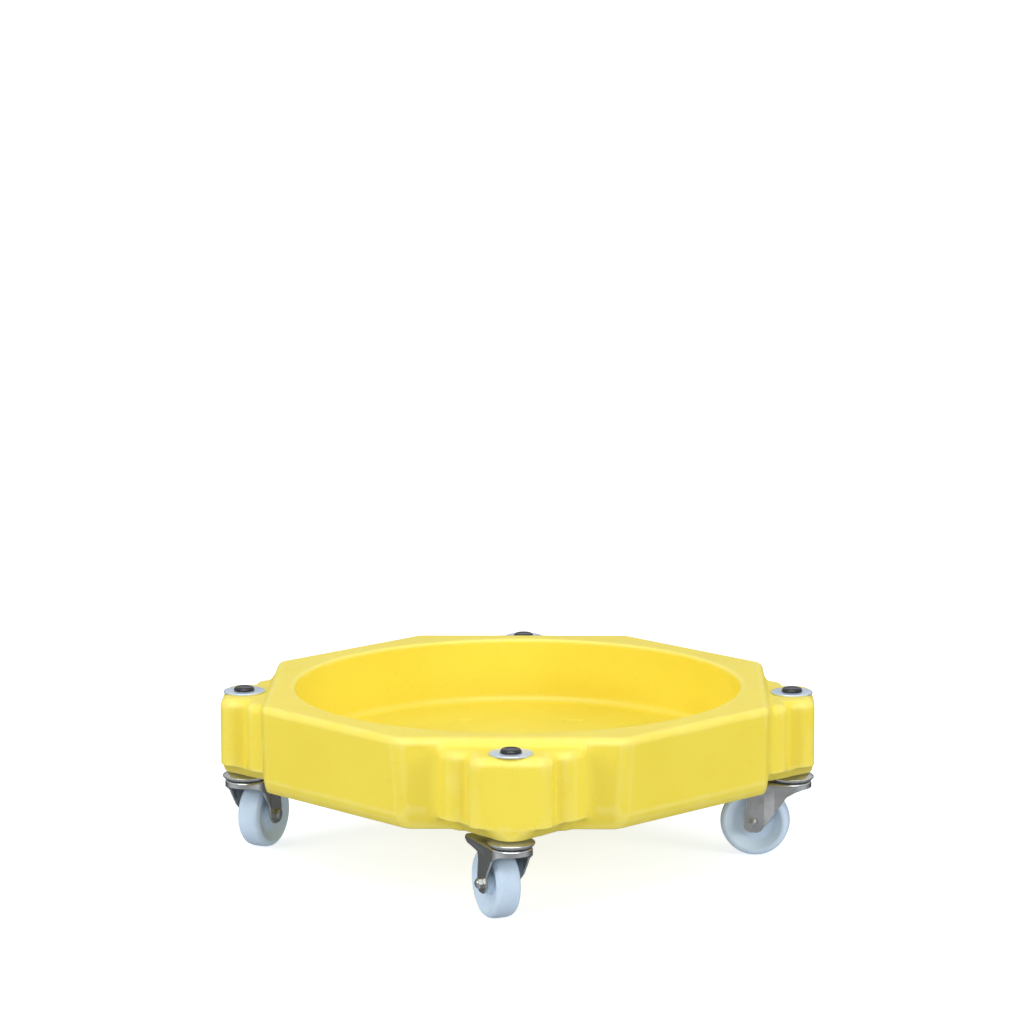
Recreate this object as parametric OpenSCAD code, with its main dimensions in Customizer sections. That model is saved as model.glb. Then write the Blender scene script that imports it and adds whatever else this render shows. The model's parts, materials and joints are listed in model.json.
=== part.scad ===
// Drum dolly: a hollow moulded octagonal deck with a round drum well, on four swivel castors.
// Millimetres, +Z up. The origin is on the floor under the middle of the deck, and X and Y run
// square to the deck's long sides, so that the castors stand at the corners of a square.

/* [Deck] */
// Half width across the long sides, at the rim
deck_half = 368; // [364:1:372]
// Half width across the short sides that carry the castors, at the rim
corner_half = 360; // [358:1:362]
// Height of the rim above the floor
rim_z = 253; // [248:1:258]
// Height of the flat underside
base_z = 126.5; // [126.5:0.5:128]
// Radius of the drum well
well_r = 322; // [300:1:326]
// Height of the well's floor
well_z = 156; // [154:1:160]
// Wall thickness of the moulding
wall = 5; // [4:0.5:5]

/* [Castor bosses] */
// Side of the square that the castors stand on
castor_square = 560; // [556:1:562]
// Height of a boss's top
boss_z = 240; // [236:1:244]
// Half width of a boss's nose
boss_half = 58; // [54:0.5:60]
// How far a boss's nose stands out past the castor axis
boss_nose = 32; // [30:0.5:36]

/* [Castors] */
// Radius of the wheels
wheel_r = 50; // [49:0.5:50]
// Width of the wheels over the tread
wheel_w = 36; // [32:1:36]
// Trail: how far the axle is behind the swivel axis
trail = 52; // [51:0.5:53]
// Direction of the front left castor's trail at rest, in degrees from +X
trail_front_left = 70; // [0:1:359]
// Direction of the front right castor's trail at rest
trail_front_right = 126; // [0:1:359]
// Direction of the back left castor's trail at rest
trail_back_left = 20; // [0:1:359]
// Direction of the back right castor's trail at rest
trail_back_right = 135; // [90:1:180]

/* [Fastenings] */
// Radius of the large washer on each boss
washer_r = 30; // [28:0.5:30]
// Radius of the cap over each castor bolt's head
cap_r = 15; // [14:0.5:17]
// Radius of the castor bolts
bolt_r = 6; // [6:0.1:6.2]
// Radius of the axle bolts
axle_r = 4; // [3.8:0.1:4]

/* [Hidden] */

$fn = 96;
fine = 0.05;          // running clearance on the radius
far = 500;            // size of the blocks that trim the deck

// A castor is its corner's signs along X and Y, and the direction of its trail.
FRONT_LEFT = [-1, -1, trail_front_left];
FRONT_RIGHT = [1, -1, trail_front_right];
BACK_LEFT = [-1, 1, trail_back_left];
BACK_RIGHT = [1, 1, trail_back_right];
CASTORS = [FRONT_LEFT, FRONT_RIGHT, BACK_LEFT, BACK_RIGHT];

// Deck
castor_reach = castor_square / sqrt(2);
long_draft = 3.5;     // degrees that the long sides lean in towards the underside
short_draft = 1;
top_chamfer = 6;
long_set_in = 8;      // how far the lower band leads in, along the long sides
long_lean = 32;
short_set_in = 4;
short_lean = 15;
boss_reach = castor_reach + boss_nose;
nose_corner_r = 20;
groove_r = 5;         // hollow between a boss's nose and its shoulder
groove_back = 40;     // from the nose's front to the middle of the hollow
shoulder_half = 103;  // half width of a boss with its shoulders
shoulder_rise = 27;   // how far a shoulder stands out past the short side
belly_z = 142;        // a boss's walls end here, and only its keel goes lower
keel_z = 124.5;       // underside of the keel that a castor's bolt comes out of
keel_angle = 50.35;   // the keel narrows to its prow, on each side at this angle
keel_reach = 279.8;   // and its sides stand this far from the deck's middle
keel_lean = 46;
chin_reach = 426;     // the keel's prow
chin_lean = 9;
recess_r = 37;        // round the top of a castor's cup

// Kiss-offs: hollow cones under the well that join the underside to the well's floor
kiss_ring_r = 205;
kiss_count = 8;
kiss_wide_r = 24;
kiss_narrow_r = 14;

vent_r = 4;
vent_y = 110;

// Castor fastenings
tube_r = 9;           // spacer tube through a boss
tube_bore_r = bolt_r + 0.5;
column_wall = 6;      // moulded wall round a spacer tube
washer_t = 2.5;
bolt_head_r = 12;
bolt_head_h = 4;
cap_h = 5.5;
cap_wall = 1;
nut_af = 18;          // across the flats
nut_h = 5;            // a thin nut, out of sight inside the crown

// Swivel head
cup_r = 33;
cup_top_r = 22.5;
cup_rim_z = 114;
sleeve_r = 11;
sleeve_bore_r = bolt_r + 0.3;
flange_r = 14;
flange_z = 103;
flange_t = 1;
crown_z = 111.5;      // top of the fork's crown
sheet = 2.5;          // thickness of the fork's steel
big_ball_r = 3;
big_pitch_r = 22;
small_ball_r = 2;
small_pitch_r = 16.5;
groove_depth = 0.8;   // how deep the balls sit in the crown
big_ball_z = crown_z + big_ball_r - groove_depth;
small_ball_z = crown_z - sheet - small_ball_r + groove_depth;
cup_floor_z = big_ball_z + big_ball_r - 0.5;
lower_race_top = small_ball_z - small_ball_r + groove_depth;

// Fork
crown_r = 29.5;
flare_z = 90;         // below this the legs are parallel
flare_back = 21;      // in front of this they are as wide as the crown
flat_back = 36;       // and behind this they are flat
leg_half = 22.5;      // half width over the legs
tail = 92;            // the crown's rear edge, behind the swivel axis
foot_r = 11.5;        // rounding of a leg's rear lower corner
foot_z = 36;          // lower end of the legs
stop_hole_r = 2;      // a small hole through both legs, for a brake that isn't fitted
stop_hole_back = 58.5;
stop_hole_z = 94;

// Wheel
tread_round = 11;     // how far in from each side of the wheel its tread starts to fall away
tread_fall = 8;       // and how far the radius falls
rim_inner_r = 40.5;
web_outer_r = 26;
web_half = 9.5;       // half thickness of the wheel's web
hub_r = 15;
hub_half = 18.6;
roller_r = 2;
sleeve_outer_r = 6;   // axle sleeve
bearing_pitch_r = sleeve_outer_r + fine + roller_r;
hub_bore_r = bearing_pitch_r + roller_r + fine;
roller_half = 15;
cage_half = 18;
axle_head_af = 13;
axle_head_h = 5.3;
axle_nut_h = 8;
axle_end = leg_half + axle_nut_h + 1;

function arc(centre, r, from, to, steps) =
    [for (i = [0 : steps]) let (a = from + (to - from) * i / steps)
        [centre[0] + r * cos(a), centre[1] + r * sin(a)]];

function mirrored(points) =
    [for (i = [len(points) - 1 : -1 : 0]) [points[i][0], -points[i][1]]];

// The points with their first coordinate turned over, in the opposite order, without any that
// lie on the middle line.
function left_half(points) =
    [for (i = [len(points) - 1 : -1 : 0]) if (points[i][0] > 0) [-points[i][0], points[i][1]]];

// ---- placing ----

module at_castor(castor) {
    translate([castor[0] * castor_square / 2, castor[1] * castor_square / 2, 0])
        children();
}

module at_trail(castor) {
    at_castor(castor) rotate(castor[2]) children();
}

module at_axle(castor) {
    at_trail(castor) translate([trail, 0, wheel_r]) rotate([90, 0, 0]) children();
}

module at_each_castor() {
    for (castor = CASTORS) at_castor(castor) children();
}

module ring(inner, outer, low, high) {
    difference() {
        translate([0, 0, low]) cylinder(r = outer, h = high - low);
        translate([0, 0, low - 1]) cylinder(r = inner, h = high - low + 2);
    }
}

module hexagon(af, h) {
    cylinder(r = af / sqrt(3), h = h, $fn = 6);
}

// ---- deck ----

// A block outside a sloping face. The face faces outwards at this angle round Z, stands at
// reach at height z, and leans out by tilt degrees as it rises. It is set in by g.
module trim(angle, reach, z, tilt, g) {
    rotate(angle)
        translate([reach - g / cos(tilt), 0, z])
            rotate([0, tilt, 0])
                translate([0, -far, -far])
                    cube([far, 2 * far, 2 * far]);
}

module trim_side(angle, reach, draft, set_in, lean, g) {
    trim(angle, reach, rim_z, draft, g);
    trim(angle, reach, rim_z - top_chamfer, -45, g);
    trim(angle, reach - (rim_z - base_z) * tan(draft) - set_in, base_z, lean, g);
}

module deck_block(g) {
    difference() {
        translate([0, 0, base_z + g])
            cylinder(r = boss_reach, h = rim_z - base_z - 2 * g);
        for (k = [0 : 3]) {
            trim_side(90 * k, deck_half, long_draft, long_set_in, long_lean, g);
            trim_side(45 + 90 * k, corner_half, short_draft, short_set_in, short_lean, g);
        }
    }
}

// Half of a boss's outline, from the front of its nose back to its shoulder's root.
function boss_edge(g) = concat(
    arc([boss_reach - nose_corner_r, boss_half - nose_corner_r], nose_corner_r - g, 0, 90, 6),
    arc([boss_reach - groove_back, boss_half + groove_r], groove_r + g, 270, 180, 5),
    [
        [corner_half + shoulder_rise - g, boss_half + 21 - g],
        [corner_half + shoulder_rise - 5 - g, boss_half + 28 - g],
        [corner_half - g, shoulder_half - g],
        [corner_half - 30, shoulder_half - g]
    ]);

module boss_slab(low, high, g) {
    translate([0, 0, low])
        linear_extrude(high - low)
            polygon(concat(boss_edge(g), mirrored(boss_edge(g))));
}

module boss(g) {
    low = g > 0 ? base_z + g : keel_z;
    difference() {
        union() {
            boss_slab(belly_z + g, boss_z - g, g);
            difference() {
                boss_slab(low, belly_z + g, g);
                for (side = [-1, 1])
                    trim(side * keel_angle, keel_reach, keel_z, keel_lean, g);
                trim(0, chin_reach, keel_z, chin_lean, g);
            }
        }
        trim(0, boss_reach, boss_z - top_chamfer, -45, g);
    }
}

module outer_form(g) {
    deck_block(g);
    for (k = [0 : 3])
        rotate(45 + 90 * k)
            boss(g);
}

module kiss_cones(g) {
    places = concat([[0, 0]], arc([0, 0], kiss_ring_r, 22.5, 337.5, kiss_count - 1));
    for (p = places)
        translate([p[0], p[1], base_z - 1])
            cylinder(r1 = kiss_wide_r + g, r2 = kiss_narrow_r + g, h = well_z - 2 * wall - base_z + 1 + g);
}

module deck_shell() {
    color("gold")
    difference() {
        outer_form(0);
        translate([0, 0, well_z]) cylinder(r = well_r, h = far);
        at_each_castor() translate([0, 0, base_z - 10]) cylinder(r = recess_r, h = 10);
        // The cavity inside the moulding
        difference() {
            outer_form(wall);
            translate([0, 0, well_z - wall]) cylinder(r = well_r + wall, h = far);
            kiss_cones(wall);
            at_each_castor()
                translate([0, 0, base_z - 1])
                    cylinder(r = tube_r + column_wall, h = boss_z);
        }
        kiss_cones(0);
        at_each_castor()
            translate([0, 0, base_z - 1])
                cylinder(r = tube_r + fine, h = boss_z);
        translate([0, vent_y, base_z - 1])
            cylinder(r = vent_r + fine, h = wall + 2);
    }
}

module vent_plug() {
    color("dimgray")
    translate([0, vent_y, 0]) {
        translate([0, 0, base_z - 1.5]) cylinder(r = 2 * vent_r, h = 1.5);
        translate([0, 0, base_z - 1.5]) cylinder(r = vent_r, h = wall + 3);
    }
}

// ---- castor fastenings on the deck ----

module castor_bolts() {
    head_z = boss_z + washer_t;
    tip_z = flange_z - nut_h - 0.5;
    color("silver")
    at_each_castor() {
        translate([0, 0, tip_z])
            cylinder(r = bolt_r, h = head_z - tip_z + 1);
        translate([0, 0, head_z])
            rotate_extrude()
                polygon(concat(
                    [[0, 0], [bolt_head_r, 0], [bolt_head_r, 1]],
                    arc([bolt_head_r - 3, 1], 3, 0, 90, 5),
                    [[0, bolt_head_h]]));
    }
}

module castor_nuts() {
    color("silver")
    at_each_castor()
        translate([0, 0, flange_z - nut_h])
            difference() {
                hexagon(nut_af, nut_h);
                translate([0, 0, -1]) cylinder(r = bolt_r + fine, h = nut_h + 2);
            }
}

module spacer_tubes() {
    color("gray")
    at_each_castor() ring(tube_bore_r, tube_r, base_z, boss_z);
}

module top_washers() {
    edge = 0.5;
    color("lightsteelblue")
    at_each_castor()
        translate([0, 0, boss_z])
            rotate_extrude()
                polygon([
                    [tube_bore_r, 0], [washer_r, 0], [washer_r, washer_t - edge],
                    [washer_r - edge, washer_t], [tube_bore_r, washer_t]
                ]);
}

module bolt_caps() {
    round_r = 3.5;
    dish_r = cap_r - 7;
    dish_z = cap_h - 0.6;
    roof_z = bolt_head_h + 0.1;
    color([0.08, 0.08, 0.09])
    at_each_castor()
        translate([0, 0, boss_z + washer_t])
            rotate_extrude()
                polygon(concat(
                    [[cap_r - cap_wall, 0], [cap_r, 0]],
                    arc([cap_r - round_r, cap_h - round_r], round_r, 0, 90, 6),
                    [
                        [dish_r + 1, cap_h], [dish_r, dish_z], [0, dish_z],
                        [0, roof_z], [cap_r - round_r, roof_z], [cap_r - cap_wall, cap_h - round_r]
                    ]));
}

// ---- swivel heads ----

module king_sleeves() {
    color("silver")
    at_each_castor()
        rotate_extrude()
            polygon([
                [sleeve_bore_r, flange_z], [flange_r, flange_z], [flange_r, flange_z + flange_t],
                [sleeve_r, flange_z + flange_t], [sleeve_r, base_z], [sleeve_bore_r, base_z]
            ]);
}

module ball_track(pitch, z, r) {
    rotate_extrude() translate([pitch, z]) circle(r = r + fine, $fn = 48);
}

module lower_races() {
    low = flange_z + flange_t;
    color("silver")
    at_each_castor()
        difference() {
            rotate_extrude()
                polygon([
                    [sleeve_r + fine, low], [small_pitch_r, low], [20, low + 1],
                    [20, lower_race_top], [sleeve_r + fine, lower_race_top]
                ]);
            ball_track(small_pitch_r, small_ball_z, small_ball_r);
        }
}

module head_cup(castor) {
    color("silver")
    at_castor(castor)
        difference() {
            rotate_extrude()
                polygon([
                    [sleeve_r + fine, cup_floor_z], [cup_r - 6.5, cup_floor_z],
                    [cup_r - 3, cup_rim_z + 1], [cup_r - 2.4, cup_rim_z], [cup_r, cup_rim_z],
                    [cup_r, cup_rim_z + 1.6], [cup_top_r + 1, base_z - 1.2], [cup_top_r, base_z],
                    [sleeve_r + fine, base_z]
                ]);
            ball_track(big_pitch_r, big_ball_z, big_ball_r);
        }
}

module swivel_balls(castor) {
    big_count = 18;
    small_count = 16;
    color("gainsboro")
    at_trail(castor) {
        for (i = [0 : big_count - 1])
            rotate(360 * i / big_count)
                translate([big_pitch_r, 0, big_ball_z])
                    sphere(r = big_ball_r, $fn = 24);
        for (i = [0 : small_count - 1])
            rotate(360 * i / small_count)
                translate([small_pitch_r, 0, small_ball_z])
                    sphere(r = small_ball_r, $fn = 24);
    }
}

// ---- forks ----

// Half of the pressing's cross-section behind the axis, as distance from its middle and height,
// set in by g.
function press_edge(g) = concat(
    [[leg_half - g, foot_z - 10], [leg_half - g, flare_z], [crown_r - g, crown_z - 3]],
    arc([crown_r - 3, crown_z - 3], 3 - g, 0, 90, 4),
    [[0, crown_z - g]]);

// The pressing as a solid, set in by g: round in front of the swivel axis, and tapering in
// behind it to flat legs.
module pressed_form(g) {
    rotate(90)
        rotate_extrude(angle = 180)
            polygon(concat(
                [[0, foot_z - 10], [crown_r - g, foot_z - 10]],
                arc([crown_r - 3, crown_z - 3], 3 - g, 0, 90, 4),
                [[0, crown_z - g]]));
    rotate([90, 0, 90])
        linear_extrude(tail + 10)
            polygon(concat(press_edge(g), left_half(press_edge(g))));
    plan = [[0, crown_r - g], [flare_back, crown_r - g], [flat_back, leg_half - g]];
    translate([0, 0, foot_z - 10])
        linear_extrude(crown_z - 3 - foot_z + 10)
            polygon(concat(plan, mirrored(plan)));
}

// The pressing's outline from the side: skirt, sloping front edge, foot, rear edge and tail.
function side_outline() = concat(
    [[-40, 103], [-20, 102.4], [-10, 99.5], [0, 93.5], [8, 83.5], [40.5, 39]],
    arc([44.5, foot_z + 4], 4, 225, 270, 3),
    arc([66 - foot_r, foot_z + foot_r], foot_r, -90, 0, 6),
    [[65, 60], [62.5, 80]],
    arc([67.5, 85], 5, 180, 110, 4),
    [[tail, 98], [tail, crown_z + 5], [-40, crown_z + 5]]);

module fork(castor) {
    color("lightgray")
    at_trail(castor)
        difference() {
            intersection() {
                difference() {
                    pressed_form(0);
                    pressed_form(sheet);
                }
                translate([0, crown_r + 10, 0])
                    rotate([90, 0, 0])
                        linear_extrude(2 * crown_r + 20)
                            polygon(side_outline());
            }
            translate([0, 0, crown_z - 10]) cylinder(r = sleeve_r + 1, h = 20);
            ball_track(big_pitch_r, big_ball_z, big_ball_r);
            ball_track(small_pitch_r, small_ball_z, small_ball_r);
            translate([trail, 0, wheel_r])
                rotate([90, 0, 0])
                    cylinder(r = axle_r + 0.1, h = 100, center = true);
            translate([stop_hole_back, 0, stop_hole_z])
                rotate([90, 0, 0])
                    cylinder(r = stop_hole_r, h = 100, center = true);
        }
}

// ---- axles; along the axle +Z is towards the bolt's head ----

module axle_bolt(castor) {
    color("silver")
    at_axle(castor) {
        translate([0, 0, -axle_end]) cylinder(r = axle_r, h = axle_end + leg_half + 1);
        translate([0, 0, leg_half]) hexagon(axle_head_af, axle_head_h);
    }
}

module axle_nut(castor) {
    collar_r = 5.6;
    collar_h = 1.8;
    color("silver")
    at_axle(castor)
        translate([0, 0, -leg_half - axle_nut_h])
            difference() {
                union() {
                    translate([0, 0, collar_h]) hexagon(axle_head_af, axle_nut_h - collar_h);
                    cylinder(r = collar_r, h = collar_h + 1);
                }
                translate([0, 0, -1]) cylinder(r = axle_r + fine, h = axle_nut_h + 2);
            }
}

module axle_sleeve(castor) {
    inside = leg_half - sheet;
    color("silver")
    at_axle(castor) ring(axle_r + 0.1, sleeve_outer_r, -inside, inside);
}

module hub_washers(castor) {
    inside = leg_half - sheet;
    color("silver")
    at_axle(castor) {
        ring(sleeve_outer_r + fine, 12, hub_half + 0.2, inside);
        ring(sleeve_outer_r + fine, 12, -inside, -hub_half - 0.2);
    }
}

// ---- wheels ----

// One side of the wheel's section, as radius and distance from its middle plane.
wheel_edge = concat(
    [[hub_bore_r, hub_half], [hub_r - 1, hub_half], [hub_r, hub_half - 1]],
    arc([hub_r + 5, web_half + 4], 4, 180, 270, 4),
    arc([web_outer_r - 3, web_half + 4], 4, 270, 340, 4),
    [[rim_inner_r, wheel_w / 2 - 1]],
    [for (a = [90 : -11.25 : 0])
        [wheel_r - tread_fall * (1 - cos(a)), wheel_w / 2 - tread_round * (1 - sin(a))]]);

module wheel(castor) {
    color("aliceblue")
    at_axle(castor)
        rotate_extrude()
            polygon(concat(wheel_edge, mirrored(wheel_edge)));
}

module wheel_bearing(castor) {
    rollers = 9;
    color("gainsboro")
    at_axle(castor) {
        for (i = [0 : rollers - 1])
            rotate(360 * i / rollers)
                translate([bearing_pitch_r, 0, -roller_half])
                    cylinder(r = roller_r, h = 2 * roller_half, $fn = 24);
        for (low = [-cage_half, roller_half + 0.2])
            ring(sleeve_outer_r + 0.2, hub_bore_r - 0.2, low, low + cage_half - roller_half - 0.2);
    }
}

deck_shell();
vent_plug();
castor_bolts();
castor_nuts();
spacer_tubes();
top_washers();
bolt_caps();
king_sleeves();
lower_races();
head_cup(FRONT_LEFT);  // head_cup_front_left
head_cup(FRONT_RIGHT);  // head_cup_front_right
head_cup(BACK_LEFT);  // head_cup_back_left
head_cup(BACK_RIGHT);  // head_cup_back_right
fork(FRONT_LEFT);  // fork_front_left
fork(FRONT_RIGHT);  // fork_front_right
fork(BACK_LEFT);  // fork_back_left
fork(BACK_RIGHT);  // fork_back_right
swivel_balls(FRONT_LEFT);  // swivel_balls_front_left
swivel_balls(FRONT_RIGHT);  // swivel_balls_front_right
swivel_balls(BACK_LEFT);  // swivel_balls_back_left
swivel_balls(BACK_RIGHT);  // swivel_balls_back_right
axle_bolt(FRONT_LEFT);  // axle_bolt_front_left
axle_bolt(FRONT_RIGHT);  // axle_bolt_front_right
axle_bolt(BACK_LEFT);  // axle_bolt_back_left
axle_bolt(BACK_RIGHT);  // axle_bolt_back_right
axle_nut(FRONT_LEFT);  // axle_nut_front_left
axle_nut(FRONT_RIGHT);  // axle_nut_front_right
axle_nut(BACK_LEFT);  // axle_nut_back_left
axle_nut(BACK_RIGHT);  // axle_nut_back_right
axle_sleeve(FRONT_LEFT);  // axle_sleeve_front_left
axle_sleeve(FRONT_RIGHT);  // axle_sleeve_front_right
axle_sleeve(BACK_LEFT);  // axle_sleeve_back_left
axle_sleeve(BACK_RIGHT);  // axle_sleeve_back_right
hub_washers(FRONT_LEFT);  // hub_washers_front_left
hub_washers(FRONT_RIGHT);  // hub_washers_front_right
hub_washers(BACK_LEFT);  // hub_washers_back_left
hub_washers(BACK_RIGHT);  // hub_washers_back_right
wheel(FRONT_LEFT);  // wheel_front_left
wheel(FRONT_RIGHT);  // wheel_front_right
wheel(BACK_LEFT);  // wheel_back_left
wheel(BACK_RIGHT);  // wheel_back_right
wheel_bearing(FRONT_LEFT);  // wheel_bearing_front_left
wheel_bearing(FRONT_RIGHT);  // wheel_bearing_front_right
wheel_bearing(BACK_LEFT);  // wheel_bearing_back_left
wheel_bearing(BACK_RIGHT);  // wheel_bearing_back_right
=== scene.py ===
import json
import math

import bmesh
import bpy
import numpy as np
from mathutils import Matrix, Vector
from mathutils.geometry import delaunay_2d_cdt


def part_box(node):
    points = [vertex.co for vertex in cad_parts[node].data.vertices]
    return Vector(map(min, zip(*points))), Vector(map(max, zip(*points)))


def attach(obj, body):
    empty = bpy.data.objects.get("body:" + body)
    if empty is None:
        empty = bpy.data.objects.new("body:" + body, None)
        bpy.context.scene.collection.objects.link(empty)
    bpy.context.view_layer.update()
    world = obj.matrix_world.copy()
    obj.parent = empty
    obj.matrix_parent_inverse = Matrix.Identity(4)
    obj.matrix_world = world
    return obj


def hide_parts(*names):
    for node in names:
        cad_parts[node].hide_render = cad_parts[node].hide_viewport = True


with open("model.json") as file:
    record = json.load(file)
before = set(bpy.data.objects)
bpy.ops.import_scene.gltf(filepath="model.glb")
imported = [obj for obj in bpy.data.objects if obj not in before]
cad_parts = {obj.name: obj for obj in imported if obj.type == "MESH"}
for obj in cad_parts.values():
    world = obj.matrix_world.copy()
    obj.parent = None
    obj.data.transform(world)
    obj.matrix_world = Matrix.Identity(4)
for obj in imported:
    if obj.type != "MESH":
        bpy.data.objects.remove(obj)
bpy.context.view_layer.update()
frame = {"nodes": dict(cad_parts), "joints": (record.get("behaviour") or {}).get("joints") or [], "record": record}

# A drum dolly: a moulded yellow deck on four swivel castors. Metres, in the frame of the model.
MM = 0.001
TAU = 2 * math.pi


# ---- sizes, read from the frame where it gives them ----

record = frame["record"]
mounts = {mount["name"]: mount for mount in record["mounts"]}
joints = {joint["name"]: joint for joint in frame["joints"]}
CORNERS = [name[len("swivel_"):] for name in joints if name.startswith("swivel_")]

deck_low, deck_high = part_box("deck_shell")
rim_z = deck_high.z
base_z = deck_low.z
well_r = mounts["drum_well"]["dims"]["r_mm"] * MM
well_z = mounts["drum_seat"]["pos_m"][2]
boss_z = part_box("top_washers")[0].z
washer_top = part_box("top_washers")[1].z
cap_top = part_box("bolt_caps")[1].z
crown_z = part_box("fork_front_left")[1].z
foot_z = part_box("fork_front_left")[0].z

castor_half = abs(joints["swivel_front_left"]["pos_m"][0])
castor_reach = castor_half * math.sqrt(2)
axle_z = joints["wheel_spin_front_left"]["pos_m"][2]
wheel_r = axle_z
trail = math.dist(joints["wheel_spin_front_left"]["pos_m"][:2], joints["swivel_front_left"]["pos_m"][:2])


def corner_place(corner):
    """The swivel axis's place on the floor, and the direction that the castor trails in."""
    kingpin = Vector(joints["swivel_" + corner]["pos_m"][:2])
    axle = Vector(joints["wheel_spin_" + corner]["pos_m"][:2])
    back = axle - kingpin
    return kingpin, math.atan2(back.y, back.x)


# ---- camera and light ----

def aim(obj, target):
    direction = Vector(target) - obj.location
    obj.rotation_euler = direction.to_track_quat("-Z", "Y").to_euler()


def add_camera():
    distance = 6.072                     # along the floor, from the deck's middle
    height = 1.5526
    heading = math.radians(45 - 1.35)    # just beside the line through two opposite castors
    pitch = 0.1709                       # below the horizon
    drift = -0.0012                      # the optical axis passes just beside the deck's middle
    roll = -0.0032
    data = bpy.data.cameras.new("camera")
    data.sensor_width = 36
    data.lens = 150.9
    data.clip_end = 200
    camera = bpy.data.objects.new("camera", data)
    bpy.context.scene.collection.objects.link(camera)
    camera.location = (-distance * math.sin(heading), -distance * math.cos(heading), height)
    facing = heading + drift
    level = math.cos(pitch)
    forward = Vector((math.sin(facing) * level, math.cos(facing) * level, -math.sin(pitch)))
    turn = forward.to_track_quat("-Z", "Y").to_matrix() @ Matrix.Rotation(roll, 3, "Z")
    camera.rotation_euler = turn.to_euler()
    bpy.context.scene.camera = camera


def add_area_light(name, place, target, size, power, soft=True, glossy=True):
    """A light box. Without soft it only shows as a shine, and without glossy it never does."""
    data = bpy.data.lights.new(name, "AREA")
    data.shape = "RECTANGLE"
    data.size, data.size_y = size
    data.energy = power
    light = bpy.data.objects.new(name, data)
    bpy.context.scene.collection.objects.link(light)
    light.location = place
    light.visible_diffuse = soft
    light.visible_glossy = glossy
    aim(light, target)


def studio_walls(world):
    """Walls that are bright overhead and dim at eye level, brightest beside the dolly and darkest
    behind it, so that metal has something bright and something dark to show."""
    tree = world.node_tree
    direction = tree.nodes.new("ShaderNodeTexCoord").outputs["Generated"]

    def along(axis):
        """How far a direction points along an axis, from 0 for against it to 1 for along it."""
        dot = tree.nodes.new("ShaderNodeVectorMath")
        dot.operation = "DOT_PRODUCT"
        dot.inputs[1].default_value = axis
        tree.links.new(direction, dot.inputs[0])
        share = tree.nodes.new("ShaderNodeMapRange")
        share.inputs["From Min"].default_value = -1.0
        tree.links.new(dot.outputs["Value"], share.inputs["Value"])
        return share.outputs["Result"]

    def shaded(value, shades):
        """A faintly cool grey that follows a value through marks of (value, shade)."""
        ramp = tree.nodes.new("ShaderNodeValToRGB")
        tree.links.new(value, ramp.inputs["Fac"])
        marks = ramp.color_ramp.elements
        while len(marks) < len(shades):
            marks.new(0.5)
        for mark, (place, shade) in zip(marks, shades):
            mark.position = place
            mark.color = (shade * 0.95, shade * 0.98, shade * 1.03, 1)
        return ramp.outputs["Color"]

    up = (0, 0, 1)
    front = (-0.71, -0.71, 0)
    height = along(up)
    dark = shaded(height, [(0.0, 0.30), (0.34, 0.10), (0.48, 0.05), (0.53, 0.10), (0.59, 0.52),
                           (0.75, 0.80), (1.0, 1.0)])
    pale = shaded(height, [(0.0, 0.45), (0.38, 0.85), (0.48, 0.62), (0.53, 0.55), (0.60, 0.80),
                           (0.75, 1.12), (1.0, 1.0)])
    share = shaded(along(front), [(0.20, 0.0), (0.42, 0.5), (0.56, 0.95), (0.84, 0.85), (0.97, 0.48)])
    mix = tree.nodes.new("ShaderNodeMix")
    mix.data_type = "RGBA"
    tree.links.new(share, mix.inputs["Factor"])
    tree.links.new(dark, mix.inputs["A"])
    tree.links.new(pale, mix.inputs["B"])
    tree.links.new(mix.outputs["Result"], tree.nodes["Background"].inputs["Color"])


def add_studio():
    """A pale floor, shaded walls, and light boxes above, beside and in front of the dolly."""
    scene = bpy.context.scene
    scene.view_settings.view_transform = "Standard"
    world = bpy.data.worlds.new("studio")
    scene.world = world
    world.use_nodes = True
    studio_walls(world)
    middle = (0, 0, 0.15)
    side_box = (2.4, 1.6)
    side_power = 99
    add_area_light("overhead_box", (-0.8, -0.5, 3.0), middle, (2.4, 2.4), 13)
    add_area_light("left_box", (-4.95, 1.3, 1.5), middle, side_box, side_power, glossy=False)
    add_area_light("right_box", (1.3, -4.95, 1.5), middle, side_box, side_power, glossy=False)
    add_area_light("front_box", (-4.0, -4.2, 1.4), middle, (2.4, 1.4), 30, glossy=False)
    add_area_light("table_glow", (-1.6, -1.6, -1.3), middle, (3.0, 3.0), 5, glossy=False)
    # A wide bright sheet that only shows as the shine on metal edges
    add_area_light("shine_sheet", (-3.1, -3.1, 4.2), middle, (9.0, 4.6), 300, soft=False)

    floor_half = 60
    mesh = bpy.data.meshes.new("floor")
    corners = [(-1, -1), (1, -1), (1, 1), (-1, 1)]
    mesh.from_pydata([(x * floor_half, y * floor_half, 0) for x, y in corners], [], [(0, 1, 2, 3)])
    floor = bpy.data.objects.new("floor", mesh)
    scene.collection.objects.link(floor)
    mesh.materials.append(pale_floor())
    # The floor glows evenly, like a light table. Only the lamp below it lights the dolly through it.
    floor.visible_diffuse = False
    floor.visible_glossy = False
    floor.visible_shadow = False


# ---- materials ----

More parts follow.
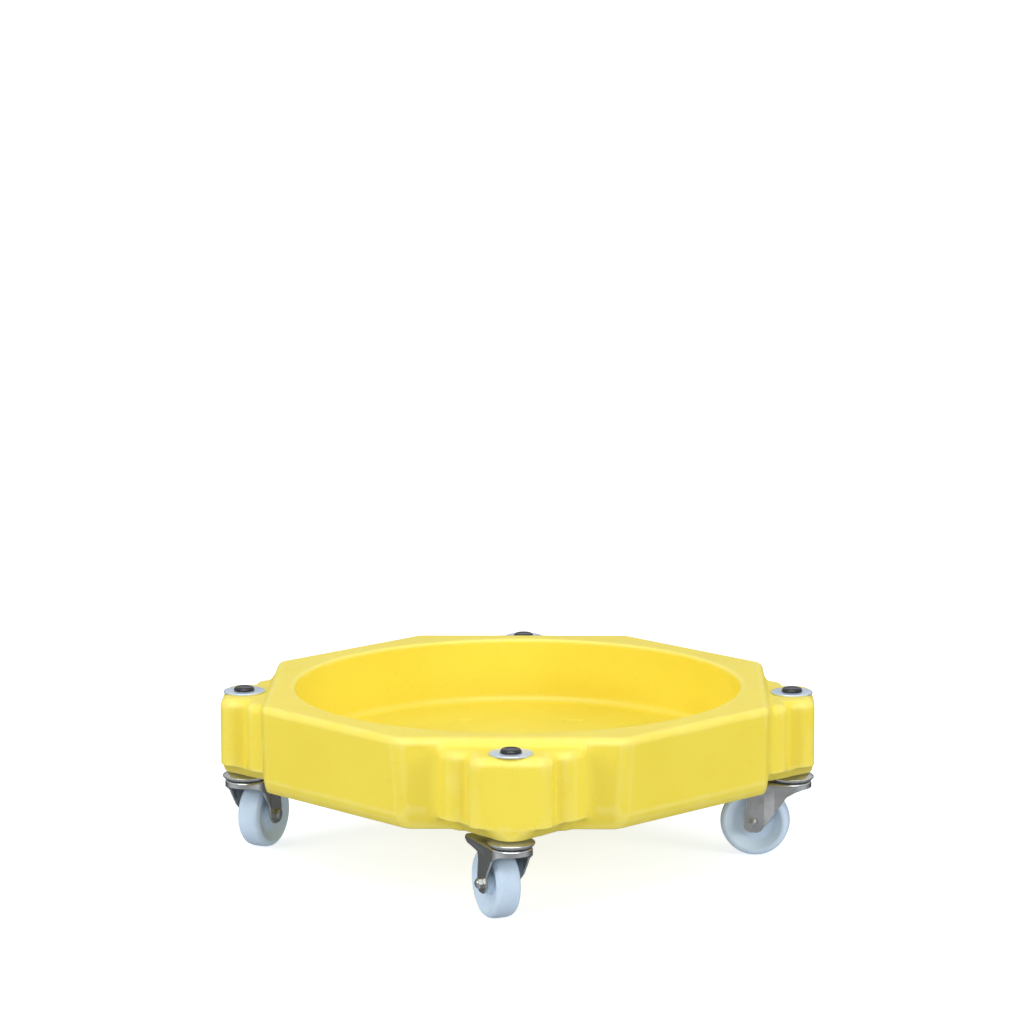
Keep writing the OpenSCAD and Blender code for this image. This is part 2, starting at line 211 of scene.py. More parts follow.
class Recipe:
    """A node material that is built up on its Principled shader."""

    def __init__(self, name):
        self.material = bpy.data.materials.new(name)
        self.material.use_nodes = True
        self.tree = self.material.node_tree
        self.shader = self.tree.nodes["Principled BSDF"]
        self.coords = self.add("ShaderNodeTexCoord").outputs["Object"]

    def add(self, kind, **values):
        node = self.tree.nodes.new(kind)
        for key, value in values.items():
            setattr(node, key, value)
        return node

    def put(self, socket, value):
        if isinstance(value, bpy.types.NodeSocket):
            self.tree.links.new(value, socket)
        else:
            socket.default_value = value

    def set(self, **values):
        for key, value in values.items():
            self.put(self.shader.inputs[key.replace("_", " ")], value)

    def noise(self, scale, detail=3.0, roughness=0.5, stretch=None):
        coords = self.coords
        if stretch:
            mapping = self.add("ShaderNodeMapping")
            mapping.inputs["Scale"].default_value = stretch
            self.put(mapping.inputs["Vector"], coords)
            coords = mapping.outputs["Vector"]
        node = self.add("ShaderNodeTexNoise")
        self.put(node.inputs["Vector"], coords)
        self.put(node.inputs["Scale"], scale)
        self.put(node.inputs["Detail"], detail)
        self.put(node.inputs["Roughness"], roughness)
        return node.outputs["Fac"]

    def spread(self, value, low, high, out_low=0.0, out_high=1.0):
        """The value's range from low to high, spread over another range."""
        node = self.add("ShaderNodeMapRange")
        limits = {"From Min": low, "From Max": high, "To Min": out_low, "To Max": out_high}
        for socket, number in limits.items():
            node.inputs[socket].default_value = number
        self.put(node.inputs["Value"], value)
        return node.outputs["Result"]

    def clouds(self, scale, detail, low=0.0, high=1.0, roughness=0.5):
        """Noise from low to high. Most of a plain noise lies between 0.3 and 0.7."""
        return self.spread(self.noise(scale, detail, roughness), 0.3, 0.7, low, high)

    def maths(self, operation, a, b):
        node = self.add("ShaderNodeMath", operation=operation)
        self.put(node.inputs[0], a)
        self.put(node.inputs[1], b)
        return node.outputs[0]

    def sum(self, a, b):
        return self.maths("ADD", a, b)

    def product(self, a, b):
        return self.maths("MULTIPLY", a, b)

    def blend(self, factor, a, b):
        node = self.add("ShaderNodeMix", data_type="RGBA")
        self.put(node.inputs["Factor"], factor)
        self.put(node.inputs["A"], a)
        self.put(node.inputs["B"], b)
        return node.outputs["Result"]

    def attribute(self, name):
        """A value stored on the mesh's vertices."""
        return self.add("ShaderNodeAttribute", attribute_name=name).outputs["Fac"]

    def bump(self, height, strength, distance, under=None):
        node = self.add("ShaderNodeBump")
        node.inputs["Strength"].default_value = strength
        node.inputs["Distance"].default_value = distance
        self.put(node.inputs["Height"], height)
        if under is not None:
            self.put(node.inputs["Normal"], under)
        return node.outputs["Normal"]


def yellow_polyethylene():
    """Moulded polyethylene: waxy yellow, with a faint orange-peel skin and paler edges, partly rubbed wear and
    partly a painted highlight.
    """
    r = Recipe("yellow_polyethylene")
    body = r.blend(r.clouds(5.0, 4.0), (0.780, 0.620, 0.048, 1), (0.820, 0.670, 0.066, 1))
    speck = r.spread(r.noise(180.0, 2.0), 0.60, 0.75, 0.0, 0.25)
    body = r.blend(speck, body, (0.72, 0.52, 0.02, 1))
    # Paler colour along the sharper edges: partly rubbed wear, partly a painted highlight.
    rubbed_and_highlit = r.sum(r.attribute("edge"), r.clouds(34.0, 3.0, -0.25, 0.25))
    colour = r.blend(r.spread(rubbed_and_highlit, 0.2, 1.0, 0.0, 0.4), body, (0.86, 0.76, 0.22, 1))
    scuff = r.spread(r.noise(60.0, 5.0, 0.7, (1.0, 1.0, 6.0)), 0.55, 0.75, 0.0, 0.10)
    roughness = r.sum(r.clouds(22.0, 4.0, 0.36, 0.46), scuff)
    peel = r.bump(r.noise(420.0, 2.0), 0.12, 0.4 * MM)
    wave = r.bump(r.noise(26.0, 1.0), 0.20, 0.6 * MM, peel)
    r.set(Base_Color=colour, Roughness=roughness, Normal=wave)
    r.set(Subsurface_Weight=0.18, Subsurface_Radius=(1.0, 0.55, 0.12), Subsurface_Scale=6 * MM)
    r.set(IOR=1.5, Specular_IOR_Level=0.5)
    return r.material


def white_nylon():
    """Cast nylon: cool white and a little cloudy, with dust worn into the tread."""
    r = Recipe("white_nylon")
    body = r.blend(r.clouds(40.0, 3.0), (0.525, 0.645, 0.765, 1), (0.575, 0.695, 0.81, 1))
    dust = r.spread(r.noise(150.0, 4.0, 0.65), 0.52, 0.75, 0.0, 0.35)
    worn = r.product(dust, r.attribute("tread"))
    colour = r.blend(worn, body, (0.50, 0.53, 0.55, 1))
    roughness = r.clouds(90.0, 3.0, 0.34, 0.48)
    fine = r.bump(r.noise(700.0, 2.0), 0.10, 0.15 * MM)
    r.set(Base_Color=colour, Roughness=roughness, Normal=fine)
    r.set(Subsurface_Weight=0.35, Subsurface_Radius=(1.0, 0.9, 0.85), Subsurface_Scale=4 * MM)
    r.set(IOR=1.53)
    return r.material


def plated_steel(name, dark, light, roughness, metallic, blue=0.0):
    """Plated steel: cloudy patches with fine crystals, and drawing lines that dull the shine."""
    r = Recipe(name)
    crystals = r.add("ShaderNodeTexVoronoi")
    r.put(crystals.inputs["Vector"], r.coords)
    crystals.inputs["Scale"].default_value = 420.0
    spangle = r.spread(crystals.outputs["Distance"], 0.0, 0.9, 0.7, 1.0)
    cloud = r.clouds(38.0, 4.0, roughness=0.55)
    colour = r.blend(r.product(spangle, cloud), light, dark)
    tint = r.spread(r.noise(24.0, 2.0), 0.42, 0.62, 0.0, blue)
    colour = r.blend(tint, colour, (0.55, 0.66, 0.86, 1))
    lines = r.noise(160.0, 3.0, 0.6, (1.0, 1.0, 0.08))
    patchy = r.spread(cloud, 0.0, 1.0, roughness - 0.04, roughness + 0.08)
    drawn = r.spread(lines, 0.3, 0.7, -0.02, 0.03)
    fine = r.bump(lines, 0.05, 0.05 * MM)
    coarse = r.bump(cloud, 0.05, 0.15 * MM, fine)
    r.set(Base_Color=colour, Metallic=metallic, Roughness=r.sum(patchy, drawn), Normal=coarse)
    return r.material


def black_plastic():
    """Glossy moulded black, with a little dust on it."""
    r = Recipe("black_plastic")
    dust = r.spread(r.noise(260.0, 5.0, 0.7), 0.50, 0.78, 0.0, 0.25)
    colour = r.blend(dust, (0.006, 0.007, 0.009, 1), (0.030, 0.032, 0.040, 1))
    fine = r.bump(r.noise(900.0, 2.0), 0.08, 0.1 * MM)
    r.set(Base_Color=colour, Roughness=r.clouds(120.0, 3.0, 0.15, 0.24), Normal=fine)
    return r.material


def pale_floor():
    """An even, dull floor that glows by itself."""
    r = Recipe("pale_floor")
    colour = r.blend(r.noise(1.5, 3.0), (0.63, 0.65, 0.68, 1), (0.65, 0.67, 0.70, 1))
    r.set(Base_Color=colour, Roughness=r.clouds(30.0, 3.0, 0.55, 0.65))
    r.set(Specular_IOR_Level=0.0, Emission_Color=colour, Emission_Strength=1.0)
    return r.material


YELLOW = yellow_polyethylene()
NYLON = white_nylon()
BLACK = black_plastic()
ZINC = plated_steel("zinc_plate", (0.40, 0.405, 0.395, 1), (0.58, 0.585, 0.57, 1),
                    roughness=0.17, metallic=0.88)
BLUE_ZINC = plated_steel("blue_zinc_plate", (0.62, 0.68, 0.76, 1), (0.78, 0.83, 0.90, 1),
                         roughness=0.30, metallic=0.7, blue=0.7)
BALL_STEEL = plated_steel("ball_steel", (0.55, 0.55, 0.56, 1), (0.72, 0.72, 0.74, 1),
                          roughness=0.14, metallic=1.0)


# ---- mesh helpers ----

def new_object(name, mesh, material):
    obj = bpy.data.objects.new(name, mesh)
    bpy.context.scene.collection.objects.link(obj)
    mesh.materials.clear()
    mesh.materials.append(material)
    return obj


def mesh_from(name, verts, faces, merge=0.01 * MM):
    """A smooth mesh with its doubles merged and its normals outward."""
    mesh = bpy.data.meshes.new(name)
    mesh.from_pydata([tuple(v) for v in verts], [], faces)
    work = bmesh.new()
    work.from_mesh(mesh)
    bmesh.ops.remove_doubles(work, verts=work.verts, dist=merge)
    bmesh.ops.dissolve_degenerate(work, edges=work.edges, dist=merge)
    bmesh.ops.recalc_face_normals(work, faces=work.faces)
    work.to_mesh(mesh)
    work.free()
    mesh.shade_smooth()
    return mesh


def finished(obj, angle=35):
    """The object's modifiers made real, with edges sharper than the angle kept crisp."""
    graph = bpy.context.evaluated_depsgraph_get()
    mesh = bpy.data.meshes.new_from_object(obj.evaluated_get(graph))
    obj.modifiers.clear()
    obj.data = mesh
    mesh.shade_smooth()
    mesh.set_sharp_from_angle(angle=math.radians(angle))
    return obj


def install(obj, body, node):
    """Puts a finished piece on its body, in the place of the node that it shows."""
    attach(obj, body)
    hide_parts(node)


def rounded(corners, steps=5):
    """An outline through corners (x, y, fillet radius), with each fillet as an arc."""
    points = []
    count = len(corners)
    for i, (x, y, r) in enumerate(corners):
        here = Vector((x, y))
        if r <= 0:
            points.append(here)
            continue
        before = (Vector(corners[i - 1][:2]) - here)
        after = (Vector(corners[(i + 1) % count][:2]) - here)
        u, v = before.normalized(), after.normalized()
        half = math.acos(max(-1, min(1, u.dot(v)))) / 2
        reach = min(r / math.tan(half), 0.49 * before.length, 0.49 * after.length)
        r = reach * math.tan(half)
        centre = here + (u + v).normalized() * (r / math.sin(half))
        start, end = here + u * reach - centre, here + v * reach - centre
        sweep = math.atan2(start.x * end.y - start.y * end.x, start.dot(end))
        for k in range(steps + 1):
            a = sweep * k / steps
            points.append(centre + Vector((start.x * math.cos(a) - start.y * math.sin(a),
                                           start.x * math.sin(a) + start.y * math.cos(a))))
    return points


def turned(name, section, material, segments=128):
    """A ring or disc turned about Z from a closed section of (radius, height) in millimetres."""
    angles = [TAU * i / segments for i in range(segments)]
    verts = [(r * MM * math.cos(a), r * MM * math.sin(a), z * MM) for a in angles for r, z in section]
    count = len(section)
    faces = []
    for i in range(segments):
        for j in range(count):
            a, b = i * count + j, i * count + (j + 1) % count
            c, d = ((i + 1) % segments) * count + (j + 1) % count, ((i + 1) % segments) * count + j
            faces.append((a, b, c, d))
    return new_object(name, mesh_from(name, verts, faces), material)


def move_mesh(obj, matrix):
    obj.data.transform(matrix)
    return obj


def to_castor(corner):
    """From a castor's own axes (+X back along its trail, Z from the floor) to the frame."""
    kingpin, angle = corner_place(corner)
    return Matrix.Translation((kingpin.x, kingpin.y, 0)) @ Matrix.Rotation(angle, 4, "Z")


def to_axle(corner):
    """From an axle's own axes (+Z along the axle, to the trail's right) to the frame."""
    laid_down = Matrix.Rotation(math.pi / 2, 4, "X")
    return to_castor(corner) @ Matrix.Translation((trail, 0, axle_z)) @ laid_down


def joined(name, parts, material):
    """One object made of the parts' meshes."""
    work = bmesh.new()
    for part in parts:
        work.from_mesh(part.data)
        bpy.data.objects.remove(part)
    mesh = bpy.data.meshes.new(name)
    work.to_mesh(mesh)
    work.free()
    return new_object(name, mesh, material)


# ---- the deck ----

deck_half = 368 * MM          # across the long sides, at the rim
corner_half = 360 * MM        # across the short sides
long_foot = 352.2 * MM        # half across the long sides at the underside, under their lower band
short_foot = 353.8 * MM       # half across the short sides there
rim_round = 11 * MM
corner_round = 9 * MM
foot_round = 2.5 * MM         # the edge round the underside
boss_half = 58 * MM
boss_reach = castor_reach + 32 * MM
boss_round = 13 * MM          # the edge round a boss's top
boss_join = 8 * MM            # the fillet between a boss and the sides
nose_round = 20 * MM
nose_curve = 0.5              # how a boss's front falls back from its middle, per metre
hollow_round = 7 * MM         # the fillet between a nose and its shoulders
shoulder_reach = corner_half + 27 * MM
shoulder_half = 103 * MM      # where a shoulder slopes back into the short side
shoulder_turn = 0.93
shoulder_round = 10 * MM
belly_z = 142 * MM            # a boss stops here, but for its keel
keel_z = 124.5 * MM           # the lowest part of a boss, round its castor
keel_turn = math.radians(50.35)
keel_reach = 279.8 * MM       # from the deck's middle to a keel's side, square to that side
keel_chin = 426 * MM          # how far out a keel reaches
keel_heel = 334 * MM          # and where it starts, just inside the short side's foot
keel_round = 9 * MM
recess_r = 37 * MM            # the pocket over each swivel head
well_round = 12 * MM          # between the well's wall and its floor
well_lip = 4 * MM
wall_place = (330 * MM, 200 * MM)         # radius and height of a ring that lies inside the wall
section_heart = (340 * MM, 141 * MM)      # every part of a section can be seen from here
kiss_ring_r = 205 * MM


def round_in(a, b, r):
    """Where two solids meet in a convex edge, rounded to r. Fields are negative inside."""
    corner = np.hypot(np.maximum(a + r, 0), np.maximum(b + r, 0))
    return np.minimum(np.maximum(a, b), -r) + corner


def round_out(a, b, r):
    """Two solids joined, with a fillet of r between them."""
    corner = np.hypot(np.maximum(r - a, 0), np.maximum(r - b, 0))
    return np.maximum(np.minimum(a, b), r) - corner


def sloping(reach, z, at_reach, at_z, lean):
    """Distance to a face that stands at at_reach at height at_z and leans out as it rises."""
    lean = math.radians(lean)
    return (reach - at_reach - (z - at_z) * math.tan(lean)) * math.cos(lean)


def boss_field(side, reach, z):
    """One corner boss: a nose with a hollow on each side, sloping shoulders, and a keel below."""
    nose = round_in(reach - boss_reach + nose_curve * side * side, side - boss_half, nose_round)
    front = reach - shoulder_reach
    flank = (side - shoulder_half) * math.sin(shoulder_turn)
    flank = flank + (reach - corner_half) * math.cos(shoulder_turn)
    outline = round_out(nose, round_in(front, flank, shoulder_round), hollow_round)
    keel_way = side * math.sin(keel_turn) + reach * math.cos(keel_turn)
    keel_side = sloping(keel_way, z, keel_reach, keel_z, lean=46)
    chin = sloping(reach, z, keel_chin, keel_z, lean=9)
    keel = round_in(round_in(keel_side, chin, keel_round), keel_heel - reach, 3 * MM)
    lowest = np.maximum(round_out(belly_z - z, keel, 5 * MM), keel_z - z)
    body = round_in(outline, z - boss_z, boss_round)
    return round_in(body, lowest, foot_round)


def deck_field(x, y, z):
    """The deck as a field: negative inside the plastic, zero on its skin."""
    x, y = np.abs(x), np.abs(y)
    across = np.maximum(x, y)
    reach, side = (x + y) / math.sqrt(2), np.abs(x - y) / math.sqrt(2)
    long_side = sloping(across, z, deck_half, rim_z, lean=3.5)
    short_side = sloping(reach, z, corner_half, rim_z, lean=1.0)
    block = round_in(long_side, short_side, corner_round)
    long_band = sloping(across, z, long_foot, base_z, lean=32)
    short_band = sloping(reach, z, short_foot, base_z, lean=15)
    block = round_in(block, round_in(long_band, short_band, 6 * MM), 4 * MM)
    block = round_in(block, z - rim_z, rim_round)
    block = round_in(block, base_z - z, foot_round)
    outer = round_out(block, boss_field(side, reach, z), boss_join)
    recess = round_in(np.hypot(reach - castor_reach, side) - recess_r, z - base_z, 1.2 * MM)
    outer = round_in(outer, -recess, 1.5 * MM)
    radius = np.hypot(x, y)
    well = round_in(radius - well_r, well_z - z, well_round)
    return round_in(outer, -well, well_lip)


def march(start, direction):
    """The points where rays from inside the plastic first meet the deck's skin."""
    strides = 70
    stride = 0.95                 # of the distance left, so that a ray never steps past the skin
    travel = np.zeros(direction.shape[:-1])
    for _ in range(strides):
        point = start + direction * travel[..., None]
        travel = travel - stride * deck_field(point[..., 0], point[..., 1], point[..., 2])
    return start + direction * travel[..., None]


def even_shares(measure, count):
    """Indices, as fractions, that cut a rising measure into equal shares."""
    wanted = np.linspace(measure[0], measure[-1], count)
    return np.interp(wanted, measure, np.arange(len(measure)))


def at_fractions(values, places):
    """The values at places between the whole indices."""
    low = np.clip(np.floor(places).astype(int), 0, len(values) - 2)
    part = (places - low)[:, None]
    return values[low] * (1 - part) + values[low + 1] * part


def octant_angles(count):
    """Directions from the middle of a long side to a corner, evenly spaced round the outline."""
    angles = np.linspace(0, math.pi / 4, 6000)
    direction = np.stack([np.cos(angles), np.sin(angles), np.zeros_like(angles)], -1)
    start = direction * wall_place[0] + np.array([0, 0, wall_place[1]])
    outline = march(start, direction)
    step = np.linalg.norm(np.diff(outline, axis=0), axis=1)
    places = even_shares(np.concatenate([[0], np.cumsum(step)]), count + 1)
    return np.interp(places, np.arange(len(angles)), angles)


def deck_sections(angles, rows):
    """For each direction, the skin's line from the well's floor, over the rim, to the underside."""
    turns = np.radians(np.linspace(159.4, -124.6, 1600))
    sharpest = 0.3                # a bend that is sharper than this takes no more points
    for_bends = 0.9               # points kept for bends, for each one kept for length
    sections = []
    for angle in angles:
        outward = np.array([math.cos(angle), math.sin(angle), 0])
        start = outward * section_heart[0] + np.array([0, 0, section_heart[1]])
        direction = np.cos(turns)[:, None] * outward + np.sin(turns)[:, None] * np.array([0, 0, 1])
        skin = march(start, direction)
        step = np.diff(skin, axis=0)
        length = np.linalg.norm(step, axis=1)
        unit = step / np.maximum(length, 1e-9)[:, None]
        bend = np.arccos(np.clip((unit[1:] * unit[:-1]).sum(1), -1, 1))
        bend = np.concatenate([[0], np.minimum(bend, sharpest)])
        measure = np.concatenate([[0], np.cumsum(length / length.sum() + for_bends * bend / bend.sum())])
        sections.append(at_fractions(skin, even_shares(measure, rows)))
    return np.array(sections)


def circle_points(x, y, r, count):
    """Points evenly round a circle."""
    return [(x + r * math.cos(TAU * i / count), y + r * math.sin(TAU * i / count)) for i in range(count)]


def inside(points, loop):
    """Which 2-D points lie inside a closed loop."""
    result = np.zeros(len(points), bool)
    a = np.array(loop)
    b = np.roll(a, -1, axis=0)
    for (x0, y0), (x1, y1) in zip(a, b):
        crossing = (y0 > points[:, 1]) != (y1 > points[:, 1])
        if y0 != y1:
            result ^= crossing & (points[:, 0] < (x1 - x0) * (points[:, 1] - y0) / (y1 - y0) + x0)
    return result


def filled(outline, holes=(), extra=()):
    """Triangles over a 2-D outline with holes, using extra points inside it."""
    points = [Vector(p) for p in outline]
    edges = [(i, (i + 1) % len(outline)) for i in range(len(outline))]
    for hole in holes:
        first = len(points)
        points += [Vector(p) for p in hole]
        edges += [(first + i, first + (i + 1) % len(hole)) for i in range(len(hole))]
    points += [Vector(p) for p in extra]
    verts, _, faces, _, _, _ = delaunay_2d_cdt(points, edges, [], 1, 1e-9)
    verts = np.array([tuple(v) for v in verts])
    faces = [tuple(f) for f in faces]
    middles = np.array([verts[list(f)].mean(0) for f in faces])
    keep = inside(middles, outline)
    for hole in holes:
        keep &= ~inside(middles, hole)
    return verts, [f for f, k in zip(faces, keep) if k]


def kiss_places():
    """Where the well's floor is tied to the underside: in the middle, and in a ring of eight."""
    ring = [math.radians(22.5 + 45 * k) for k in range(8)]
    return [(0, 0)] + [(kiss_ring_r * math.cos(a), kiss_ring_r * math.sin(a)) for a in ring]


class Patches:
    """Verts and faces gathered from several patches of skin."""

    def __init__(self):
        self.verts, self.faces = [], []

    def add(self, verts, faces):
        first = len(self.verts)
        self.verts += [tuple(v) for v in verts]
        self.faces += [tuple(first + i for i in f) for f in faces]

    def grid(self, rows):
        """A sleeve through equally long rings of points."""
        rows = [list(r) for r in rows]
        count = len(rows[0])
        verts = [p for row in rows for p in row]
        faces = []
        for j in range(len(rows) - 1):
            low, high = j * count, (j + 1) * count
            for i in range(count):
                beside = (i + 1) % count
                faces.append((low + i, low + beside, high + beside, high + i))
        self.add(verts, faces)


def dished_disc(patches, ring, z, dimple):
    """A flat disc inside a ring of points, with round dimples given as (radius, rise) steps."""
    around = 40
    inward = 0.985
    dimple_r = dimple[0][0]
    holes = [circle_points(x, y, dimple_r, around) for x, y in kiss_places()]
    # More points just inside the rim and round each dimple keep the rest of the disc evenly flat.
    flat = [(inward * p[0], inward * p[1]) for p in ring]
    for x, y in kiss_places():
        flat += circle_points(x, y, dimple_r + 3 * MM, around)
    verts, faces = filled([(p[0], p[1]) for p in ring], holes, flat)
    patches.add([(v[0], v[1], z) for v in verts], faces)
    for x, y in kiss_places():
        rows = [[(px, py, z + rise) for px, py in circle_points(x, y, r, around)] for r, rise in dimple]
        patches.grid(rows)
        patches.add(rows[-1], [tuple(range(around))])


def deck():
    """The moulding: an eighth of its skin mirrored and turned round, and a disc at each end."""
    sections = deck_sections(octant_angles(count=88), rows=104)
    mirrored = sections[:, :, [1, 0, 2]]
    columns = []
    for quarter in range(4):
        turn = quarter * math.pi / 2
        c, s = math.cos(turn), math.sin(turn)
        rotate = np.array([[c, -s, 0], [s, c, 0], [0, 0, 1]])
        columns += [section @ rotate.T for section in sections[:-1]]
        columns += [section @ rotate.T for section in mirrored[:0:-1]]
    columns = np.array(columns)
    patches = Patches()
    patches.grid(columns.transpose(1, 0, 2))
    floor_ring = columns[:, 0]
    under_ring = columns[:, -1]
    dimple = [(15 * MM, 0), (13.5 * MM, -0.4 * MM), (12 * MM, -1.2 * MM), (9 * MM, -1.5 * MM)]
    dished_disc(patches, floor_ring, float(floor_ring[0][2]), dimple)
    cone_top = well_z - 10 * MM - base_z
    cone = [(26 * MM, 0), (24.2 * MM, 0.4 * MM)]
    cone += [((24 - 10 * t) * MM, cone_top * t) for t in (0.12, 0.4, 0.7, 0.9)]
    cone += [(12.5 * MM, cone_top), (9 * MM, cone_top)]
    dished_disc(patches, under_ring, float(under_ring[0][2]), cone)
    obj = new_object("moulded_deck", mesh_from("moulded_deck", patches.verts, patches.faces), YELLOW)
    mark_edges(obj.data)
    obj.data.set_sharp_from_angle(angle=math.radians(50))
    install(obj, "deck", "deck_shell")


def mark_edges(mesh):
    """Stores how sharply the deck's skin bends outwards at each vertex."""
    sharp_r = 8 * MM              # an edge as sharp as this, or sharper, is marked in full
    h = 2.5 * MM                  # how far round a vertex the bend is felt
    places = np.empty(len(mesh.vertices) * 3)
    mesh.vertices.foreach_get("co", places)
    x, y, z = places.reshape(-1, 3).T
    around = sum(deck_field(x + a, y + b, z + c) for a, b, c in
                 ((h, 0, 0), (-h, 0, 0), (0, h, 0), (0, -h, 0), (0, 0, h), (0, 0, -h)))
    bend = (around - 6 * deck_field(x, y, z)) / (h * h)
    attribute = mesh.attributes.new("edge", "FLOAT", "POINT")
    attribute.data.foreach_set("value", np.clip(bend * sharp_r, 0, 1).astype(np.float32))


# ---- washers and caps on the bosses, repeated by geometry nodes ----

def at_four_corners():
    """A node tree that puts a copy of the piece at each corner of a square."""
    tree = bpy.data.node_groups.new("at_four_corners", "GeometryNodeTree")
    tree.interface.new_socket("Geometry", in_out="INPUT", socket_type="NodeSocketGeometry")
    tree.interface.new_socket("Square", in_out="INPUT", socket_type="NodeSocketFloat")
    tree.interface.new_socket("Height", in_out="INPUT", socket_type="NodeSocketFloat")
    tree.interface.new_socket("Material", in_out="INPUT", socket_type="NodeSocketMaterial")
    tree.interface.new_socket("Geometry", in_out="OUTPUT", socket_type="NodeSocketGeometry")
    add = tree.nodes.new
    link = tree.links.new
    given, result = add("NodeGroupInput"), add("NodeGroupOutput")
    grid = add("GeometryNodeMeshGrid")
    grid.inputs["Vertices X"].default_value = 2
    grid.inputs["Vertices Y"].default_value = 2
    link(given.outputs["Square"], grid.inputs["Size X"])
    link(given.outputs["Square"], grid.inputs["Size Y"])
    copies = add("GeometryNodeInstanceOnPoints")
    link(grid.outputs["Mesh"], copies.inputs["Points"])
    link(given.outputs["Geometry"], copies.inputs["Instance"])
    lift = add("ShaderNodeCombineXYZ")
    link(given.outputs["Height"], lift.inputs["Z"])
    raised = add("GeometryNodeTransform")
    link(copies.outputs["Instances"], raised.inputs["Geometry"])
    link(lift.outputs["Vector"], raised.inputs["Translation"])
    real = add("GeometryNodeRealizeInstances")
    link(raised.outputs["Geometry"], real.inputs["Geometry"])
    finish = add("GeometryNodeSetMaterial")
    link(real.outputs["Geometry"], finish.inputs["Geometry"])
    link(given.outputs["Material"], finish.inputs["Material"])
    link(finish.outputs["Geometry"], result.inputs["Geometry"])
    return tree


def repeat_at_corners(obj, tree, height):
    """A plain mesh of the piece at the four corners, at the height given."""
    modifier = obj.modifiers.new("corners", "NODES")
    modifier.node_group = tree
    values = {"Square": 2 * castor_half, "Height": height, "Material": obj.data.materials[0]}
    for item in tree.interface.items_tree:
        if item.in_out == "INPUT" and item.name in values:
            modifier[item.identifier] = values[item.name]
    return finished(obj)


def boss_fastenings():
    """The large flat washers, and the dished caps that cover the castor bolts."""
    tree = at_four_corners()
    thick = (washer_top - boss_z) / MM
    bore, edge = 6.5, 30
    flat_ring = rounded([(bore, 0, 0.2), (edge, 0, 0.5), (edge, thick, 0.8), (bore, thick, 0.3)])
    washer = turned("washers", flat_ring, BLUE_ZINC)
    install(repeat_at_corners(washer, tree, boss_z), "deck", "top_washers")
    high = (cap_top - washer_top) / MM
    dish, roof = high - 0.9, high - 2
    hollow_cap = rounded([
        (0, dish, 0), (8.2, dish, 0.6), (9.2, high, 0.8), (12.6, high - 0.1, 2.6), (14.9, 2.4, 1.6),
        (15, 0, 0.3), (13.6, 0, 0.2), (13.4, roof, 1), (0, roof, 0)])
    cap = turned("caps", hollow_cap, BLACK)
    install(repeat_at_corners(cap, tree, washer_top), "deck", "bolt_caps")


# ---- swivel heads ----

def head_cups():
    """The pressed upper cups: a flat seat, a skirt that slopes out, and a lip turned under."""
    bore, seat, inside_z = 11.1, base_z / MM, 118.4
    section = rounded([
        (bore, seat, 0.3), (22.5, seat, 1.2), (32.4, 118.2, 1.6), (33, 117.2, 0.8), (32.6, 115.8, 0.8),
        (30.4, 113.2, 0.6), (29.6, 113.4, 0.4), (30.6, 116.6, 0.8), (26, inside_z, 1.5),
        (bore, inside_z, 0.3)])
    for corner in CORNERS:
        cup = move_mesh(turned("cup_" + corner, section, ZINC), to_castor(corner))
        install(cup, "deck", "head_cup_" + corner)


# ---- forks ----

crown_r = 29.5 * MM
crown_bend = 4 * MM
tail = 92 * MM
leg_inset = 7 * MM            # the legs stand closer together than the crown's sides by this, each
inset_z = 107 * MM            # they close in from here down, over inset_drop
inset_drop = 17 * MM
inset_back = 21 * MM          # and from here back, over inset_run
inset_run = 15 * MM
stop_hole_place = (58.5 * MM, 94 * MM)       # back from the swivel axis, and from the floor
flank_top = crown_z - crown_bend
bend_length = crown_bend * math.pi / 2
arc_length = crown_r * math.pi / 2


def smooth(value):
    """A step from 0 to 1 that starts and ends gently."""
    value = np.clip(value, 0, 1)
    return value * value * (3 - 2 * value)


def fork_outline():
    """The pressing's edge from the side, from the front of its skirt to the end of its tail."""
    front, end = -crown_r / MM, tail / MM
    corners = [
        (front, 102.2, 0), (-20, 101.8, 8), (-9, 98.4, 10), (3, 91.5, 12), (9, 82.5, 8),
        (40.6, 38.4, 4), (46, 36, 3), (57, foot_z / MM, 8), (66, 40, 9), (65.3, 60, 20),
        (62.4, 80, 20), (63.8, 91.5, 6), (end, 98.5, 0), (end, crown_z / MM, 0)]
    points = rounded(corners, steps=8)
    return [(p.x * MM, p.y * MM) for p in points[:-1]]


def resampled(points, step):
    """The same line with points no further than a step apart."""
    result = []
    for (x0, y0), (x1, y1) in zip(points, points[1:]):
        count = max(1, math.ceil(math.dist((x0, y0), (x1, y1)) / step))
        result += [(x0 + (x1 - x0) * i / count, y0 + (y1 - y0) * i / count) for i in range(count)]
    return result + [points[-1]]


def flat_place(back, z):
    """Where a point of the side outline lies on the unbent sheet."""
    if back >= 0:
        along = arc_length + back
    else:
        along = crown_r * math.acos(min(1, -back / crown_r))
    return along, bend_length + flank_top - z


def bent(along, down):
    """Where points of the unbent sheet go. along runs round the sheet from its front, both ways."""
    side = np.sign(along)
    far = np.abs(along)
    angle = np.minimum(far, arc_length) / crown_r
    back = np.maximum(far - arc_length, 0)
    turn = np.clip(down / crown_bend, 0, math.pi / 2)
    in_bend = flank_top + crown_bend * np.cos(turn)
    z = np.where(down < bend_length, in_bend, flank_top + bend_length - down)
    reach = crown_r - crown_bend + crown_bend * np.sin(turn)
    lower = smooth((inset_z - z) / inset_drop)
    farther = np.clip((back - inset_back) / inset_run, 0, 1)
    reach = reach - leg_inset * lower * farther
    return np.stack([back - reach * np.cos(angle), side * reach * np.sin(angle), z], -1)


